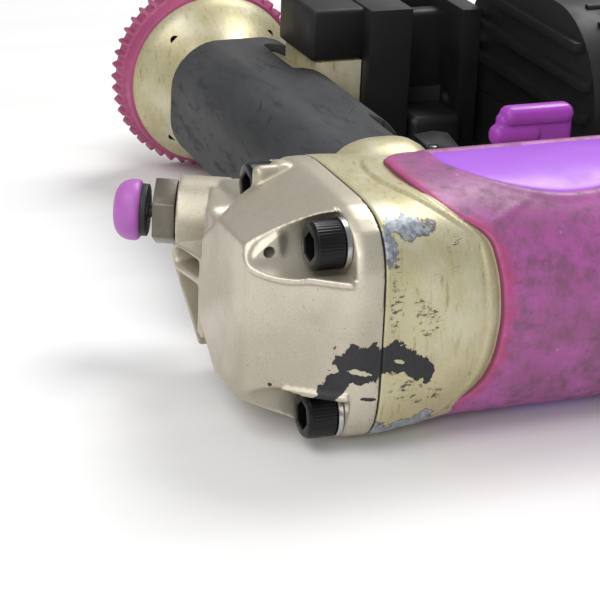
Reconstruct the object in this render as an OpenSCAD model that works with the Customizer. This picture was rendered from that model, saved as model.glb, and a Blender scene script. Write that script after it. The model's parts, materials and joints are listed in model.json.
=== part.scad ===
// Coil roofing nailer, driven by compressed air, lying on its side.
// The modules are drawn in the tool's own frame: x runs from the gasket of the head cover towards
// the nose, y from the barrel's axis towards the end of the handle, z from the tool's mid-plane
// towards the side that lies uppermost. place() moves that frame so that the tool rests on z = 0
// and is centred in x and y.

/* [Head] */
// Half size of the head flange along the handle's direction
flange_y = 35; // [34.5:0.25:35.5]
// Half size of the head flange across the tool
flange_z = 33; // [32.5:0.25:33.5]
// Corner radius of the head flange
flange_r = 13; // [11:0.5:14]
// Height of the head cover over its gasket
cover_h = 32; // [30:0.5:33]
// Distance of each head bolt from the barrel's axis, in both directions
bolt_off = 23.8; // [23.6:0.1:24]
// Slant of the air duster's axis towards the handle, in degrees
duster_tilt = 25; // [22:1:28]

/* [Barrel] */
// Length of the barrel casting, from the gasket to its lower end
barrel_len = 104; // [103.5:0.5:104.5]
// Outer radius of the casting under the protector
barrel_r = 31; // [30.8:0.1:31.1]
// Outer radius of the soft protector
protector_r = 35.5; // [35:0.25:36]
// Inner radius of the cylinder, which the piston slides in
bore_r = 21.5; // [21.3:0.1:21.6]

/* [Handle] */
// Distance of the handle's axis from the gasket plane
handle_x = 34; // [33.5:0.5:34.5]
// Height of the grip's oval section, along x
grip_h = 48; // [45:0.5:48]
// Width of the grip's oval section, across the tool
grip_w = 43; // [41:0.5:43]
// Outer radius of the toothed bumper ring at the handle's end
ring_r = 34; // [33.5:0.25:34]
// Number of teeth around the bumper ring, so that one is at the very bottom
ring_teeth = 34; // [30:4:38]

/* [Trigger] */
// Distance of the trigger's pin from the barrel's axis
trigger_y = 48; // [47.5:0.5:48.5]
// Outer radius of the trigger's pin
trigger_pin_r = 2.5; // [2:0.25:3]

/* [Magazine] */
// Half length of the magazine's rounded section, along y
drum_y = 46; // [45:0.5:46]
// Half height of the magazine's rounded section, across the tool
drum_z = 43; // [42:0.5:43]
// Corner radius of the magazine's section
drum_r = 30; // [24:1:34]
// Wall thickness of the magazine
drum_wall = 2.5; // [2:0.25:3]

/* [Nose] */
// Distance of the nose's tip from the gasket plane
nose_end = 190; // [188:0.5:191]
// Reach of the contact tip past the nose
contact_reach = 18; // [17:0.5:19]
// Radius of the channel that a nail is driven through
channel_r = 5.5; // [5.25:0.25:5.75]

/* [Hidden] */
$fn = 64;
hull_fn = 32;

// Heights and gaps that several modules share
gasket_t = 0.8;
gap = 0.3;
running = 0.05;
ground = ring_r;
bolt_seat = -8;
bolt_head_r = 6.5;
bolt_head_h = 8;
washer_t = 1.4;
bolt_r = 4;
pocket_r = 8.1;
vent_at = [-25.5, -20, 20.2];
chamber_r = 22;
liner_r = 24;
casting_bore = 27.5;
barrel_z = 30.6;
protector_z = 34;
panel_t = 1.6;
grip_from = 44;
bell_from = 176;
ring_from = 198;
cap_end = 219;
cap_screw_at = 23.9;
cap_screw_r = 1.8;
lug_screw_r = 2.5;
nose_from = 239;
plug_end = 247;
plug_r = 4.4;
duster_at = [-19.5, 55.7, 5];
hex_from = 6.55;
knob_end = 25.5;
knob_face_r = 6.6;
drum_at = [108, 104, 9];
drum_len = 62;
pivot_x = 66;
nose_z = 7.5;
door_t = 3;
door_pin_y = -13;
latch_y = 46;
latch_z = 15;
cover_pin_y = drum_at[1] + drum_y + 4;
feed_x = 140;
feed_z = -17.5;
rod_at = [12, -21];
nose_bolt_r = 27.2;
arm_at = [68, 87];
arm_pin_r = 1.5;
valve_y = 72;
door_z = 9.2;
door_pin_r = 2;
seal_at = [16.5, 62.5];

// The part's box in the tool's frame, which place() centres
x_low = duster_at[0] - knob_end * cos(duster_tilt) - knob_face_r * sin(duster_tilt);
x_high = nose_end + contact_reach;
y_low = -protector_r;
y_high = plug_end;

module place() translate([-(x_low + x_high) / 2, -(y_low + y_high) / 2, ground]) children();

// Frames whose local z lies along x, y or the duster's axis
module from_x(x) translate([x, 0, 0]) rotate([0, 90, 0]) children();
module from_y(y) translate([0, y, 0]) rotate([-90, 0, 0]) children();
module duster() translate(duster_at) rotate([0, 0, -duster_tilt]) rotate([0, -90, 0]) children();

module rod_x(at, r, h) translate(at) rotate([0, 90, 0]) cylinder(r = r, h = h);
module rod_y(at, r, h) translate(at) rotate([-90, 0, 0]) cylinder(r = r, h = h);
module rod_z(at, r, h) translate(at) cylinder(r = r, h = h);
module block(low, high) translate(low) cube(high - low);

// A rectangle with round corners, centred
module rounded(w, h, r) {
    square([w - 2 * r, h], center = true);
    square([w, h - 2 * r], center = true);
    for (i = [-1, 1], j = [-1, 1]) translate([i * (w / 2 - r), j * (h / 2 - r)]) circle(r);
}

// A tube along local z
module tube(outer, inner, h) difference() {
    cylinder(r = outer, h = h);
    translate([0, 0, -1]) cylinder(r = inner, h = h + 2);
}

// What is repeated at the four head bolts
module at_head_bolts() for (y = [-1, 1], z = [-1, 1]) translate([0, y * bolt_off, z * bolt_off]) children();

module flange(x, h, grow = 0) from_x(x) linear_extrude(h)
    rounded(2 * (flange_z + grow), 2 * (flange_y + grow), flange_r);

/* Head */

// The head's flat end, wide towards the handle and cut off at its corners
module end_face() from_x(-cover_h) linear_extrude(1)
    polygon([[-22, -13], [-18, -17], [18, -17], [22, -13], [22, 6], [12, 19], [-12, 19], [-22, 6]]);

module head_block() hull() {
    flange(-7, 7 - gasket_t, $fn = hull_fn);
    end_face();
}

// The arm that carries the air duster out over the handle
module duster_arm() hull() {
    duster() translate([0, 0, -5]) cylinder(r = 10, h = 2, $fn = hull_fn);
    block([-27, 20, -8], [-6, 30, 18]);
}

// A fin under the arm, joined to the block by a rib and hollow on both sides of it
module duster_web() difference() {
    hull() {
        block([-31.5, 18, -20], [-8, 20, 6]);
        translate([0, 36.2, 0]) rotate([90, 0, 0]) linear_extrude(1.8)
            polygon([[-35, 5], [-34.8, 1], [-25.8, -27], [-8, -27], [-8, 5]]);
    }
    block([-40, 20.6, -0.4], [-14, 34.4, 4.2]);
    block([-40, 20.6, -40], [-14, 34.4, -2.6]);
}

module head_cover() place() color("#beb6a5") difference() {
    union() {
        head_block();
        duster_arm();
        duster_web();
        duster() translate([0, 0, -8]) cylinder(r = 11, h = hex_from + 7.95);
    }
    at_head_bolts() rod_x([bolt_seat - 40, 0, 0], pocket_r, 40);
    at_head_bolts() rod_x([bolt_seat - 1, 0, 0], bolt_r + gap, 10);
    rod_x([-16, 0, 0], chamber_r, 20);
    duster() translate([0, 0, -12]) cylinder(r = 5, h = 30);
    duster() translate([0, 0, -24]) cylinder(r = 2, h = 14);
    rod_y(vent_at, 1.1, 10);
}

module head_gasket() place() color("#24221f") difference() {
    flange(-gasket_t, gasket_t, -0.15);
    rod_x([-5, 0, 0], chamber_r + 2, 10);
    at_head_bolts() rod_x([-5, 0, 0], bolt_r + gap, 10);
}

module head_bolts() place() color("#26262a") at_head_bolts() difference() {
    union() {
        rod_x([bolt_seat - washer_t - bolt_head_h, 0, 0], bolt_head_r, bolt_head_h);
        rod_x([bolt_seat - washer_t - 1, 0, 0], bolt_r - 0.1, 33);
    }
    from_x(bolt_seat - washer_t - bolt_head_h - 1) cylinder(r = 3.5, h = 5, $fn = 6);
}

module head_bolt_washers() place() color("#d9d8d2") at_head_bolts()
    from_x(bolt_seat - washer_t) tube(bolt_head_r + 0.5, bolt_r + 0.1, washer_t);

/* Air duster */

module duster_bushing() place() color("#9b968c") duster() difference() {
    union() {
        translate([0, 0, -11]) cylinder(r = 4.9, h = hex_from + 12);
        translate([0, 0, hex_from]) cylinder(r = 10, h = 6.45, $fn = 6);
    }
    translate([0, 0, -9.4]) cylinder(r = 3.6, h = 17.4);
    translate([0, 0, -12]) cylinder(r = 2.2, h = 30);
}

module duster_stem() place() color("#c9c7c2") duster() {
    translate([0, 0, -4]) cylinder(r = 2.15, h = 22);
    translate([0, 0, -5]) cylinder(r = 3.3, h = 2);
}

module duster_disc() place() color("#1d1c1e") duster()
    translate([0, 0, 15]) tube(7.6, 2.25, 2.2);

// A mushroom: a flat back, a rounded rim and a domed front
module duster_knob() place() color("#be6ed7") duster() difference() {
    translate([0, 0, 17.2]) rotate_extrude() {
        square([9, 3]);
        translate([6, 3]) circle(3);
        polygon([[0, 0], [8.9, 3.5], [knob_face_r, knob_end - 17.2], [0, knob_end - 17.2]]);
    }
    translate([0, 0, 12]) cylinder(r = 2.25, h = 6.2);
}

module duster_spring() place() color("#a8a8a8") duster()
    translate([0, 0, -2.8]) tube(3.2, 2.45, 10.4);

/* Body */

module handle_core() translate([handle_x, 0, 0]) from_y(24) linear_extrude(bell_from + 4 - 24)
    rounded(grip_h - 7, grip_w - 6, 14);

// The bell at the handle's end: a slow flare and then a short lip
module handle_bell() translate([handle_x, 0, 0]) from_y(bell_from) rotate_extrude()
    polygon([[0, 0], [17, 0], [19.5, 6], [24, 13], [29, 19], [29.8, 21.7], [26.7, 21.7],
        [26.7, 24], [0, 24]]);

module barrel_shoulder() hull() {
    flange(0, 10, $fn = hull_fn);
    intersection() {
        from_x(22) cylinder(r = 35, h = 9, $fn = 2 * hull_fn);
        block([20, -36, -33], [40, 36, 33]);
    }
}

module barrel_tube() intersection() {
    rod_x([29, 0, 0], barrel_r, barrel_len - 29);
    block([0, -40, -barrel_z], [barrel_len, 40, barrel_z]);
}

module trigger_ears() difference() {
    for (z = [-13, 9]) block([48, 42, z], [74, 58, z + 4]);
    rod_z([pivot_x, trigger_y, -20], trigger_pin_r + 0.02, 40);
}

// What is repeated at the two screws that hold the magazine's bracket
module at_lug_screws() for (y = [143, 161]) translate([0, y, 6]) children();

module magazine_lug() difference() {
    block([48, 138, -10], [64, 166, 22]);
    at_lug_screws() rod_x([52, 0, 0], lug_screw_r + 0.1, 20);
}

module body_housing() place() color("#b1ab8c") difference() {
    union() {
        barrel_shoulder();
        barrel_tube();
        handle_core();
        handle_bell();
        trigger_ears();
        magazine_lug();
    }
    rod_x([-1, 0, 0], casting_bore, 91);
    rod_x([80, 0, 0], liner_r + 0.05, 22);
    rod_x([90, 0, 0], 12, 30);
    at_head_bolts() rod_x([-1, 0, 0], bolt_r, 24);
    at_nose_bolts() rod_x([barrel_len - 9, 0, 0], 2.1, 20);
    rod_y([handle_x, 20, 0], 12.5, cap_end);
    rod_y([handle_x, bell_from + 12, 0], 21, 30);
    for (a = [45 : 90 : 315]) translate([handle_x, 0, 0]) rotate([0, a, 0])
        rod_y([cap_screw_at, bell_from + 14, 0], cap_screw_r + 0.1, 20);
    rod_x([36, valve_y, 0], 8, 40);
}

module cylinder_liner() place() color("#c4c6c8") difference() {
    union() {
        rod_x([4, 0, 0], liner_r, 97.9);
        rod_x([14, 0, 0], casting_bore - 0.1, 5);
        rod_x([60, 0, 0], casting_bore - 0.1, 5);
    }
    rod_x([0, 0, 0], bore_r, 110);
    for (x = seal_at) from_x(x - 1.2) tube(casting_bore + 1, casting_bore - 2.2, 2.4);
    for (a = [0 : 45 : 315]) rotate([a, 0, 0]) rod_z([74, 0, 0], 1.6, 40);
}

module cylinder_seals() place() color("#191919")
    for (x = seal_at) from_x(x - 1) tube(casting_bore - 0.05, casting_bore - 2.1, 2);

module check_valve_band() place() color("#191919") from_x(71) tube(liner_r + 1.6, liner_r + 0.05, 6);

module head_valve() place() color("#d8d6cd") from_x(-9) difference() {
    union() {
        cylinder(r = chamber_r - gap, h = 6);
        cylinder(r = chamber_r - 2, h = 10.6);
    }
    translate([0, 0, -1]) cylinder(r = 9, h = 20);
    translate([0, 0, -1]) tube(19, 14, 5);
}

module head_valve_seal() place() color("#191919") from_x(1.6) tube(liner_r - 2.2, bore_r - 4.4, 2.3);

module head_valve_spring() place() color("#a8a8a8") from_x(-15.9) tube(18, 16, 10.8);

module piston() place() color("#c9c9cc") from_x(8) difference() {
    cylinder(r = bore_r - gap, h = 14);
    translate([0, 0, 6]) tube(bore_r + 1, bore_r - 2.6, 3);
    translate([0, 0, -1]) cylinder(r = 12, h = 5);
    translate([0, 0, 8]) cylinder(r = 3.1, h = 20);
}

module piston_ring() place() color("#191919") from_x(14.1) tube(bore_r - 0.06, bore_r - 2.5, 2.8);

module driver_blade() place() color("#8d8f93") rod_x([16.1, 0, 0], 3, 97);

module piston_bumper() place() color("#2b2a28") from_x(89) difference() {
    cylinder(r = bore_r - 0.4, h = 12.8);
    translate([0, 0, -1]) cylinder(r = 3.8, h = 20);
    translate([0, 0, -1]) tube(bore_r + 2, bore_r - 3, 5);
}

/* Covers */

module protector_section(r, z) intersection() {
    circle(r);
    square([2 * z, 4 * r], center = true);
}

module barrel_protector() place() color("#b05fa0") difference() {
    from_x(31.3) linear_extrude(71.7) protector_section(protector_r, protector_z);
    from_x(30) linear_extrude(80) protector_section(barrel_r + 0.2, barrel_z + gap);
    block([20, 20, -40], [64, 60, 40]);
    block([20, 29, -40], [120, 60, 40]);
    for (z = [-protector_z, protector_z]) translate([0, 0, z - panel_t - gap])
        side_lens(0, 2 * (panel_t + gap));
}

// Lens-shaped outline of the smooth inlay on each flat side
module side_lens(inset, h) linear_extrude(h) intersection() {
    translate([68, 34]) circle(56 - inset, $fn = 96);
    translate([36 + inset, -30]) square([62 - 2 * inset, 42 - inset]);
}

module side_panel_upper() place() color("#be70f0")
    translate([0, 0, protector_z - 0.1 - panel_t]) side_lens(0.2, panel_t);
module side_panel_lower() place() color("#be70f0")
    translate([0, 0, 0.1 - protector_z]) side_lens(0.2, panel_t);

module grip_sleeve() place() color("#3f4143") difference() {
    translate([handle_x, 0, 0]) from_y(grip_from) linear_extrude(bell_from - 1 - grip_from)
        rounded(grip_h, grip_w, 17);
    translate([handle_x, 0, 0]) from_y(grip_from - 1) linear_extrude(bell_from + 3 - grip_from)
        rounded(grip_h - 6.8, grip_w - 5.8, 14.1);
    block([45, 30, -30], [70, 86, 30]);
    block([40, 137.5, -10.5], [70, 166.5, 22.5]);
}

module ring_tooth(a) rotate(a)
    polygon([[30, -2], [ring_r - 0.6, -1.6], [ring_r, 0], [ring_r - 0.6, 1.6], [30, 2]]);

module end_bumper_ring() place() color("#ae5080") translate([handle_x, 0, 0]) from_y(ring_from) {
    tube(31, 26.8, 6);
    translate([0, 0, 6]) linear_extrude(8) difference() {
        union() {
            circle(ring_r - 1.8);
            for (i = [0 : ring_teeth - 1]) ring_tooth((i + 0.5) * 360 / ring_teeth);
        }
        circle(26.8);
    }
}

module end_cap() place() color("#b1ab8c") translate([handle_x, 0, 0]) from_y(ring_from + 2.2) difference() {
    union() {
        cylinder(r = 26.7, h = 12);
        cylinder(r = 12, h = cap_end - ring_from - 2.2);
    }
    translate([0, 0, -1]) cylinder(r = 7.5, h = 40);
    for (a = [45 : 90 : 315]) rotate([0, 0, a]) translate([cap_screw_at, 0, -1])
        cylinder(r = cap_screw_r + gap, h = 20);
    for (a = [0 : 90 : 270]) rotate([0, 0, a]) translate([18, 0, -1]) cylinder(r = 2.4, h = 20);
}

module end_cap_screws() place() color("#26262a") translate([handle_x, 0, 0]) from_y(ring_from + 2.2)
    for (a = [45 : 90 : 315]) rotate([0, 0, a]) translate([cap_screw_at, 0, 0]) difference() {
        union() {
            translate([0, 0, -8]) cylinder(r = cap_screw_r, h = 21);
            translate([0, 0, 12.05]) cylinder(r = 2.9, h = 2.4);
        }
        translate([0, 0, 13]) cylinder(r = 1.5, h = 3, $fn = 6);
    }

module inlet_filter() place() color("#b9a24a")
    translate([handle_x, 0, 0]) from_y(bell_from + 14) tube(19, 6, 8);

// A hexagon, a collar with the groove that the coupling's balls drop into, and a plain nose
module air_plug() place() color("#c6a75c") translate([handle_x, 0, 0]) difference() {
    union() {
        rod_y([0, ring_from + 5, 0], 7.45, cap_end - ring_from - 5);
        from_y(cap_end + gap) cylinder(r = 10.4, h = 7, $fn = 6);
        rod_y([0, cap_end, 0], 4.9, 18);
        rod_y([0, cap_end + 7, 0], 5.8, 5);
        rod_y([0, nose_from - 4, 0], 5.8, 4);
        rod_y([0, cap_end, 0], plug_r, plug_end - cap_end);
    }
    rod_y([0, ring_from, 0], 3, 60);
}

/* Trigger */

module trigger_outline() polygon([[61, 43.5], [71, 43.5], [75.5, 52], [76.5, 66], [75.5, 84],
    [78, 98], [74, 101], [66.5, 99], [65, 84], [62.5, 60]]);

module trigger() place() color("#232325") difference() {
    translate([0, 0, -8.5]) linear_extrude(17) trigger_outline();
    translate([0, 0, -4.6]) linear_extrude(9.2)
        polygon([[50, 36], [63, 36], [72, 42], [71.5, 94], [50, 94]]);
    rod_z([pivot_x, trigger_y, -20], trigger_pin_r + running, 40);
    rod_z([arm_at[0], arm_at[1], -20], arm_pin_r, 40);
}

module trigger_pin() place() color("#8d8f93") rod_z([pivot_x, trigger_y, -14.5], trigger_pin_r, 34.5);

module trigger_arm() place() color("#77797d") difference() {
    union() {
        translate([0, 0, -4]) linear_extrude(8)
            polygon([[59.6, 39], [61.9, 39], [62.2, 56], [64.6, 72], [69, 83], [66.5, 85],
                [62.2, 73], [59.9, 56]]);
        rod_z([arm_at[0], arm_at[1], -4], 3.2, 8);
    }
    rod_z([arm_at[0], arm_at[1], -10], arm_pin_r + running, 20);
}

module trigger_arm_pin() place() color("#8d8f93") rod_z([arm_at[0], arm_at[1], -8.4], arm_pin_r, 16.8);

module trigger_valve_bushing() place() color("#1f1f21") from_x(37) translate([0, valve_y, 0]) difference() {
    cylinder(r = 7.9, h = 19.4);
    translate([0, 0, 3]) cylinder(r = 5.2, h = 13);
    translate([0, 0, -1]) cylinder(r = 2.4, h = 40);
}

module trigger_valve_plunger() place() color("#c9c7c2") {
    rod_x([44, valve_y, 0], 2.3, 16.2);
    rod_x([46, valve_y, 0], 4.9, 3);
}

module trigger_valve_spring() place() color("#a8a8a8")
    from_x(40.1) translate([0, valve_y, 0]) tube(4.6, 2.6, 5.8);

// A hub round the trigger pin's upper end, and a stepped thumb tab
module selector_lever() place() color("#b44bc8") difference() {
    union() {
        rod_z([pivot_x, trigger_y, 13.6], 5.5, 5.6);
        block([66, 44, 13.6], [90, 50, 19.2]);
        block([66.5, 43, 19], [93, 49, 27.5]);
        block([70, 43, 27], [93, 49, 33.2]);
    }
    rod_z([pivot_x, trigger_y, 10], trigger_pin_r + running, 11);
}

/* Nose */

module at_nose_bolts() for (a = [0 : 90 : 270]) rotate([a, 0, 0])
    translate([0, 0, nose_bolt_r]) children();

module nose_body() place() color("#3a3a3d") difference() {
    union() {
        rod_x([barrel_len, 0, 0], barrel_r, 4.2);
        rod_x([barrel_len, 0, 0], 14, 9);
        block([barrel_len + 1, -9, -12], [nose_end - 14, 9, nose_z]);
        rod_x([nose_end - 16, 0, 0], 7.6, 16);
        for (x = [112, 160]) block([x, -16.6, -4], [x + 8, -9, 9.2]);
        for (x = [112, 160]) rod_x([x, door_pin_y, door_z], 3.6, 8);
        block([136, 7, -25.5], [139, 17, -11.8]);
        block([168, 1, -25.5], [172, 23, -11]);
    }
    rod_x([90, 0, 0], channel_r, 120);
    block([112, 0, -channel_r], [122, 12, channel_r]);
    block([122, 0, -3], [168, 12, 3]);
    at_nose_bolts() rod_x([90, 0, 0], 2.2, 30);
    rod_x([100, door_pin_y, door_z], door_pin_r + 0.02, 80);
    rod_x([130, rod_at[0], rod_at[1]], 3 + gap, 12);
    block([164, rod_at[0] - 7.3, rod_at[1] - 1.8], [176, rod_at[0] + 7.3, rod_at[1] + 1.8]);
}

module nose_bolts() place() color("#26262a") at_nose_bolts() difference() {
    union() {
        rod_x([barrel_len - 8, 0, 0], 2, 14);
        rod_x([barrel_len + 4.25, 0, 0], 3.8, 3.2);
    }
    from_x(barrel_len + 5.5) cylinder(r = 2, h = 3, $fn = 6);
}

// From the trigger past the barrel's end, under the feeder and out to the tip
module contact_arm() place() color("#4a4b4e") difference() {
    union() {
        block([73, 37, -20], [79, 41, 4]);
        block([73, 37, -20], [125.5, 41, -13]);
        block([122, 9, -24], [125.5, 41, -13]);
        rod_x([125, rod_at[0], rod_at[1]], 3, 38);
        block([162, rod_at[0] - 7, rod_at[1] - 1.5], [196, rod_at[0] + 7, rod_at[1] + 1.5]);
        block([191, -6, rod_at[1] - 1.5], [196, rod_at[0] + 7, rod_at[1] + 1.5]);
        block([191, -6, rod_at[1] - 1.5], [196, 6, -8]);
    }
    rod_x([180, 0, 0], 11.01, 30);
}

module contact_tip() place() color("#5b5c60") difference() {
    union() {
        rod_x([nose_end + 0.6, 0, 0], 11, contact_reach - 4.6);
        rod_x([nose_end + contact_reach - 4.6, 0, 0], 9.5, 4.6);
    }
    rod_x([nose_end - 10, 0, 0], 8, 40);
}

module contact_spring() place() color("#a8a8a8") translate([139.2, rod_at[0], rod_at[1]])
    rotate([0, 90, 0]) tube(4.6, 3.4, 22.6);

module depth_dial() place() color("#232325") difference() {
    union() {
        rod_x([127, rod_at[0], rod_at[1]], 8, 6);
        for (i = [0 : 11]) translate([0, rod_at[0], rod_at[1]]) rotate([i * 30, 0, 0])
            block([127.5, -1, 7.5], [132.5, 1, 8.6]);
    }
    rod_x([120, rod_at[0], rod_at[1]], 3 + running, 20);
}

/* Feeder */

module feeder_housing() place() color("#2c2c2f") difference() {
    union() {
        block([113.3, 9.2, -10.5], [170, 57.6, -7]);
        block([168, 9.2, -10.5], [171, 57.6, 7.6]);
        block([113.3, 9.2, -10.5], [115.6, 57.6, 7.6]);
        rod_y([feed_x, 24, feed_z], 9.5, 30);
        block([feed_x - 9.5, 24, feed_z], [feed_x + 9.5, 54, -8]);
    }
    rod_y([feed_x, 26, feed_z], 6.3, 40);
    rod_y([feed_x, 20, feed_z], 3, 40);
    block([feed_x - 2.8, 22, feed_z], [feed_x + 2.8, 50, 0]);
}

module feeder_cap() place() color("#9b968c") rod_y([feed_x, 54.05, feed_z], 6.9, 3);

module feed_piston() place() color("#c9c9cc") rod_y([feed_x, 29, feed_z], 6.24, 8);

module feed_pawl() place() color("#8d8f93") {
    block([feed_x - 2.4, 30, feed_z + 6.25], [feed_x + 2.4, 35, -3.4]);
    block([feed_x - 9, 12, -6.6], [feed_x + 9, 35, -3.4]);
}

module feed_spring() place() color("#a8a8a8") translate([feed_x, 37.1, feed_z]) rotate([-90, 0, 0])
    tube(5, 3.4, 16.6);

module nail_guide_door() place() color("#2f2f32") difference() {
    union() {
        block([113.3, -7, 8.4], [170, 53.6, 8.4 + door_t]);
        block([120.4, door_pin_y, 8.4], [159.6, -6, 8.4 + door_t]);
        rod_x([120.4, door_pin_y, door_z], 3.6, 39.2);
        for (x = [124, 136, 148]) block([x, 0, 11], [x + 3, 50, 13.5]);
        for (x = [157, 166]) block([x, latch_y - 4, 11], [x + 3, latch_y + 4, 18]);
    }
    rod_x([110, door_pin_y, door_z], door_pin_r + running, 60);
    rod_x([150, latch_y, latch_z], 1.5, 30);
}

module door_pin() place() color("#8d8f93") rod_x([111, door_pin_y, door_z], door_pin_r, 58);

module door_latch() place() color("#54555a") difference() {
    union() {
        rod_x([160.4, latch_y, latch_z], 3.4, 5.2);
        block([160.4, latch_y - 3.2, latch_z], [165.6, latch_y, 22]);
        block([160.4, latch_y - 3, 21], [165.6, latch_y + 9.6, 23]);
        block([160.4, latch_y + 8, 9], [165.6, latch_y + 9.6, 23]);
    }
    rod_x([150, latch_y, latch_z], 1.5 + running, 30);
}

module latch_pin() place() color("#8d8f93") rod_x([156.6, latch_y, latch_z], 1.5, 12.8);

/* Magazine */

module drum_section(inset) rounded(2 * (drum_z - inset), 2 * (drum_y - inset), drum_r - inset);
module in_drum() translate(drum_at) rotate([0, 90, 0]) children();

// The whole magazine, hollow, with the opening that the nails leave by
module drum_shell() difference() {
    in_drum() linear_extrude(drum_len) drum_section(0);
    in_drum() translate([0, 0, drum_wall]) linear_extrude(drum_len - 2 * drum_wall)
        drum_section(drum_wall);
    block([114.6, drum_at[1] - drum_y - 5, -7], [168, drum_at[1] - drum_y + 8, 8]);
}

module magazine_base() place() color("#1c1c1e") difference() {
    union() {
        intersection() {
            drum_shell();
            block([100, 50, -50], [180, 160, drum_at[2] - 0.2]);
        }
        difference() {
            for (x = [109, 159]) block([x, 146, -8], [x + 9, cover_pin_y + 3.4, drum_at[2] - 0.2]);
            in_drum() translate([0, 0, -10]) linear_extrude(90) drum_section(1);
        }
        for (x = [109, 159]) rod_x([x, cover_pin_y, drum_at[2]], 3.4, 9);
        rod_x([138, drum_at[1], drum_at[2]], 5, 31.5);
    }
    rod_x([100, cover_pin_y, drum_at[2]], 2, 80);
}

module magazine_cover() place() color("#1c1c1e") difference() {
    union() {
        intersection() {
            drum_shell();
            block([100, 50, drum_at[2] + 0.2], [180, 160, 60]);
        }
        for (z = [20, 30.5]) block([105.2, 62, z], [108.5, 146, z + 3]);
        block([105.2, 69, 41], [108.5, 139, 44]);
        rod_x([118.4, cover_pin_y, drum_at[2]], 3.4, 40.2);
        difference() {
            block([118.4, 146, drum_at[2] + 0.5], [158.6, cover_pin_y, drum_at[2] + 4]);
            in_drum() translate([0, 0, -10]) linear_extrude(90) drum_section(1);
        }
    }
    rod_x([100, cover_pin_y, drum_at[2]], 2 + running, 80);
    rod_x([149, drum_at[1], drum_at[2]], 5 + gap, 30);
}

module cover_hinge_pin() place() color("#8d8f93") rod_x([108.5, cover_pin_y, drum_at[2]], 2, 60);

module nail_platform() place() color("#4a4b4e") translate([160, drum_at[1], drum_at[2]]) rotate([0, 90, 0])
    difference() {
        union() {
            cylinder(r = 38, h = 2.5);
            cylinder(r = 8, h = 6);
        }
        translate([0, 0, -1]) cylinder(r = 5 + running, h = 10);
    }

// From the handle's lug out to the magazine, with a hanging eye towards the handle's end
module magazine_bracket() place() color("#1c1c1e") difference() {
    union() {
        block([64.3, 132, -14], [79, 187, 40]);
        block([60, 166.8, -14], [79, 187, 40]);
        block([79, 166, -12], [104.8, 187, 42]);
        block([79, 148, -12], [104.8, 156, 8]);
        block([98, 134, -12], [104.8, 187, 38]);
        block([103, 140, -14], [107.8, 172, 8]);
    }
    at_lug_screws() rod_x([60, 0, 0], lug_screw_r + 0.2, 40);
    block([68, 171, -20], [98, 183, 36]);
}

module magazine_screws() place() color("#26262a") at_lug_screws() difference() {
    union() {
        rod_x([79.05, 0, 0], 4.5, 3.4);
        rod_x([56.5, 0, 0], lug_screw_r, 23.5);
    }
    from_x(80.5) cylinder(r = 2, h = 3, $fn = 6);
}

head_cover();
head_gasket();
head_bolts();
head_bolt_washers();
duster_bushing();
duster_knob();
duster_disc();
duster_stem();
duster_spring();
body_housing();
cylinder_liner();
cylinder_seals();
check_valve_band();
head_valve();
head_valve_seal();
head_valve_spring();
piston();
piston_ring();
driver_blade();
piston_bumper();
barrel_protector();
side_panel_upper();
side_panel_lower();
grip_sleeve();
end_bumper_ring();
end_cap();
end_cap_screws();
inlet_filter();
air_plug();
trigger();
trigger_pin();
trigger_arm();
trigger_arm_pin();
trigger_valve_bushing();
trigger_valve_plunger();
trigger_valve_spring();
selector_lever();
nose_body();
nose_bolts();
contact_arm();
contact_tip();
contact_spring();
depth_dial();
feeder_housing();
feeder_cap();
feed_piston();
feed_pawl();
feed_spring();
nail_guide_door();
door_pin();
door_latch();
latch_pin();
magazine_base();
magazine_cover();
cover_hinge_pin();
nail_platform();
magazine_bracket();
magazine_screws();
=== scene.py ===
import json
import math
import bmesh
import bpy
from mathutils import Matrix, Vector, noise


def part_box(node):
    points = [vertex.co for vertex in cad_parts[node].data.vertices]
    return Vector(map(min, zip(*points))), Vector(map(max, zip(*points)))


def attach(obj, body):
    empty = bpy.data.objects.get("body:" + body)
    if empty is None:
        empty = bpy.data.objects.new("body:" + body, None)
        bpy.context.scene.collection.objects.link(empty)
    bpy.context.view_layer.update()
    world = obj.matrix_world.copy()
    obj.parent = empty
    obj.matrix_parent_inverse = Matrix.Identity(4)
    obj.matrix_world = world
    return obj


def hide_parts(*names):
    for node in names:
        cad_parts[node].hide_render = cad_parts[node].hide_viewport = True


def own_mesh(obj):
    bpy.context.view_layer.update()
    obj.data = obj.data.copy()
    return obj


# Looks of a coil roofing nailer that lies on its side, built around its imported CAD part.

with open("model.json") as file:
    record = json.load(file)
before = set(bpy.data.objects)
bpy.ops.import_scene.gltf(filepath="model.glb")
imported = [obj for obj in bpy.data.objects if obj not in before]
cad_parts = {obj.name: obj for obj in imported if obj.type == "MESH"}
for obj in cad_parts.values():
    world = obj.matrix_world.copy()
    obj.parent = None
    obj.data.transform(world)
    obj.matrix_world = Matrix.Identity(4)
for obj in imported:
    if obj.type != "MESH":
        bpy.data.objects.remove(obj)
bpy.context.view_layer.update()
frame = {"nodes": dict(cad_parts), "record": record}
NODES = frame["nodes"]

# The tool's own frame, in millimetres: x from the gasket plane towards the nose, y from the
# barrel's axis towards the handle's end, z from the tool's mid-plane upwards.
GASKET_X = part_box("head_gasket")[1].x
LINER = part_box("cylinder_liner")
AXIS_Y = (LINER[0].y + LINER[1].y) / 2
AXIS_Z = (LINER[0].z + LINER[1].z) / 2


def P(x, y, z):
    """A point of the tool's own frame, in metres of the row's frame."""
    return Vector((GASKET_X + x / 1000, AXIS_Y + y / 1000, AXIS_Z + z / 1000))


def V(x, y, z):
    return Vector((x, y, z))


def placed(name, data):
    """A new object that is linked to the scene."""
    obj = bpy.data.objects.new(name, data)
    bpy.context.scene.collection.objects.link(obj)
    return obj


# ---------------------------------------------------------------- camera and lights

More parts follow.
